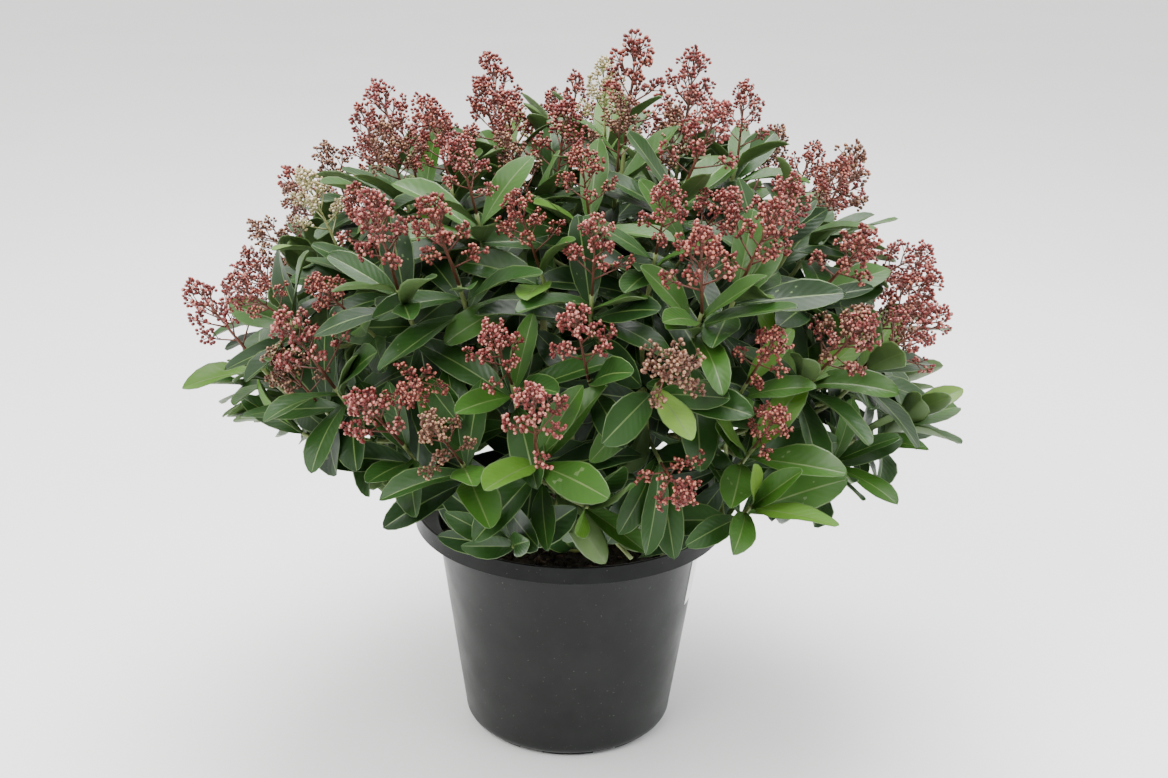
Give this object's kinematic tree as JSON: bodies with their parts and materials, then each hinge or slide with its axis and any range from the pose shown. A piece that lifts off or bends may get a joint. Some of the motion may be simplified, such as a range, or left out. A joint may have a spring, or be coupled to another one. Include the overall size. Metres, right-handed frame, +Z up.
{
  "type": "potted shrub",
  "caption": "Potted evergreen skimmia shrub in bud: forked stems, masses of whorled glossy leaves topped by panicles of red buds, in a round tapering nursery pot with a rim band",
  "frame": {"origin": "centre of the pot's flat underside, on the floor", "axes": "+Z up along the pot's axis, -Y the plant's front, +X to the right seen from the front"},
  "size_m": [0.8314, 0.8026, 0.7104],
  "materials": {
    "pot": "satin black injection-moulded",
    "compost": "loose, rough and moist",
    "stems": "smooth green-brown bark",
    "foliage": "glossy evergreen leaves with matt red flower buds"
  },
  "bodies": {
    "root": {"pot": "pot", "compost": "compost", "stem_base": "stems", "stem_middle": "stems", "stem_side_1": "stems", "stem_side_2": "stems", "stem_side_3": "stems", "stem_side_4": "stems", "bough_upper_1": "stems", "bough_upper_2": "stems", "bough_upper_3": "stems", "bough_upper_4": "stems", "bough_lower_1": "stems", "bough_lower_2": "stems", "bough_lower_3": "stems", "bough_lower_4": "stems", "bough_lower_5": "stems", "bough_lower_6": "stems", "bough_lower_7": "stems", "bough_lower_8": "stems", "foliage_top": "foliage", "foliage_upper_1": "foliage", "foliage_upper_2": "foliage", "foliage_upper_3": "foliage", "foliage_upper_4": "foliage", "foliage_lower_1": "foliage", "foliage_lower_2": "foliage", "foliage_lower_3": "foliage", "foliage_lower_4": "foliage", "foliage_lower_5": "foliage", "foliage_lower_6": "foliage", "foliage_lower_7": "foliage", "foliage_lower_8": "foliage"}
  },
  "joints": []
}
